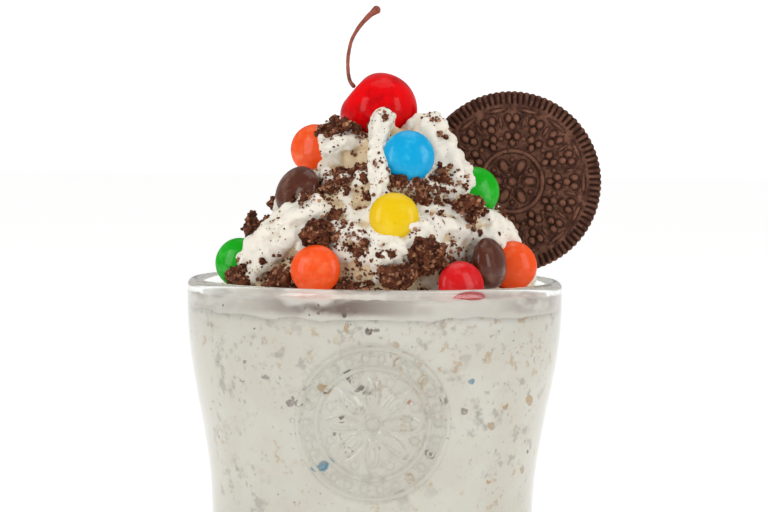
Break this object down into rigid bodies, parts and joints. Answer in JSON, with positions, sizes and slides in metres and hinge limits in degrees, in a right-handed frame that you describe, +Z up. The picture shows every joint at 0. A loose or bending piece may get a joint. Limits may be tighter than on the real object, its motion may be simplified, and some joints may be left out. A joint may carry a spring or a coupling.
{
  "type": "milkshake in a jar glass",
  "caption": "Thick speckled milkshake in a flared jar glass, heaped with piped cream, cookie crumbs, coated candies, a cherry and a sandwich cookie.",
  "frame": {"origin": "centre of the glass's flat base, which rests on the ground", "axes": "+Z up the glass towards the cherry; the dressed front with most candies faces -Y; the sandwich cookie stands out towards +X"},
  "size_m": [0.1035, 0.0933, 0.193],
  "materials": {
    "clear_glass": "clear, polished",
    "shake": "thick, smooth, flecked with cookie",
    "cream": "soft satin with dark crumbs",
    "cookie": "dry, finely rough",
    "filling": "smooth, matt",
    "cherry": "wet gloss",
    "stem": "satin",
    "shell_blue": "satin sugar shell",
    "shell_yellow": "satin sugar shell",
    "shell_orange": "satin sugar shell",
    "shell_brown": "satin sugar shell",
    "shell_green": "satin sugar shell",
    "shell_red": "satin sugar shell"
  },
  "bodies": {
    "root": {"glass": "clear_glass", "milkshake": "shake", "whipped_cream": "cream", "cherry": "cherry", "cherry_stem": "stem", "cookie_wafer_front": "cookie", "cookie_filling": "filling", "cookie_wafer_back": "cookie", "candy_blue": "shell_blue", "candy_yellow": "shell_yellow", "candy_orange_high": "shell_orange", "candy_brown_left": "shell_brown", "candy_green_left": "shell_green", "candy_orange_low": "shell_orange", "candy_red": "shell_red", "candy_brown_right": "shell_brown", "candy_orange_right": "shell_orange", "candy_green_right": "shell_green", "candy_yellow_back": "shell_yellow", "candy_blue_back": "shell_blue", "candy_red_back": "shell_red", "candy_green_back": "shell_green", "chunk_front": "cookie", "chunk_wafer_front": "cookie", "chunk_left": "cookie", "chunk_wafer_left": "cookie", "chunk_green": "cookie", "chunk_rim": "cookie", "chunk_high": "cookie", "chunk_right": "cookie", "chunk_back": "cookie", "chunk_wafer_back": "cookie"}
  },
  "joints": []
}
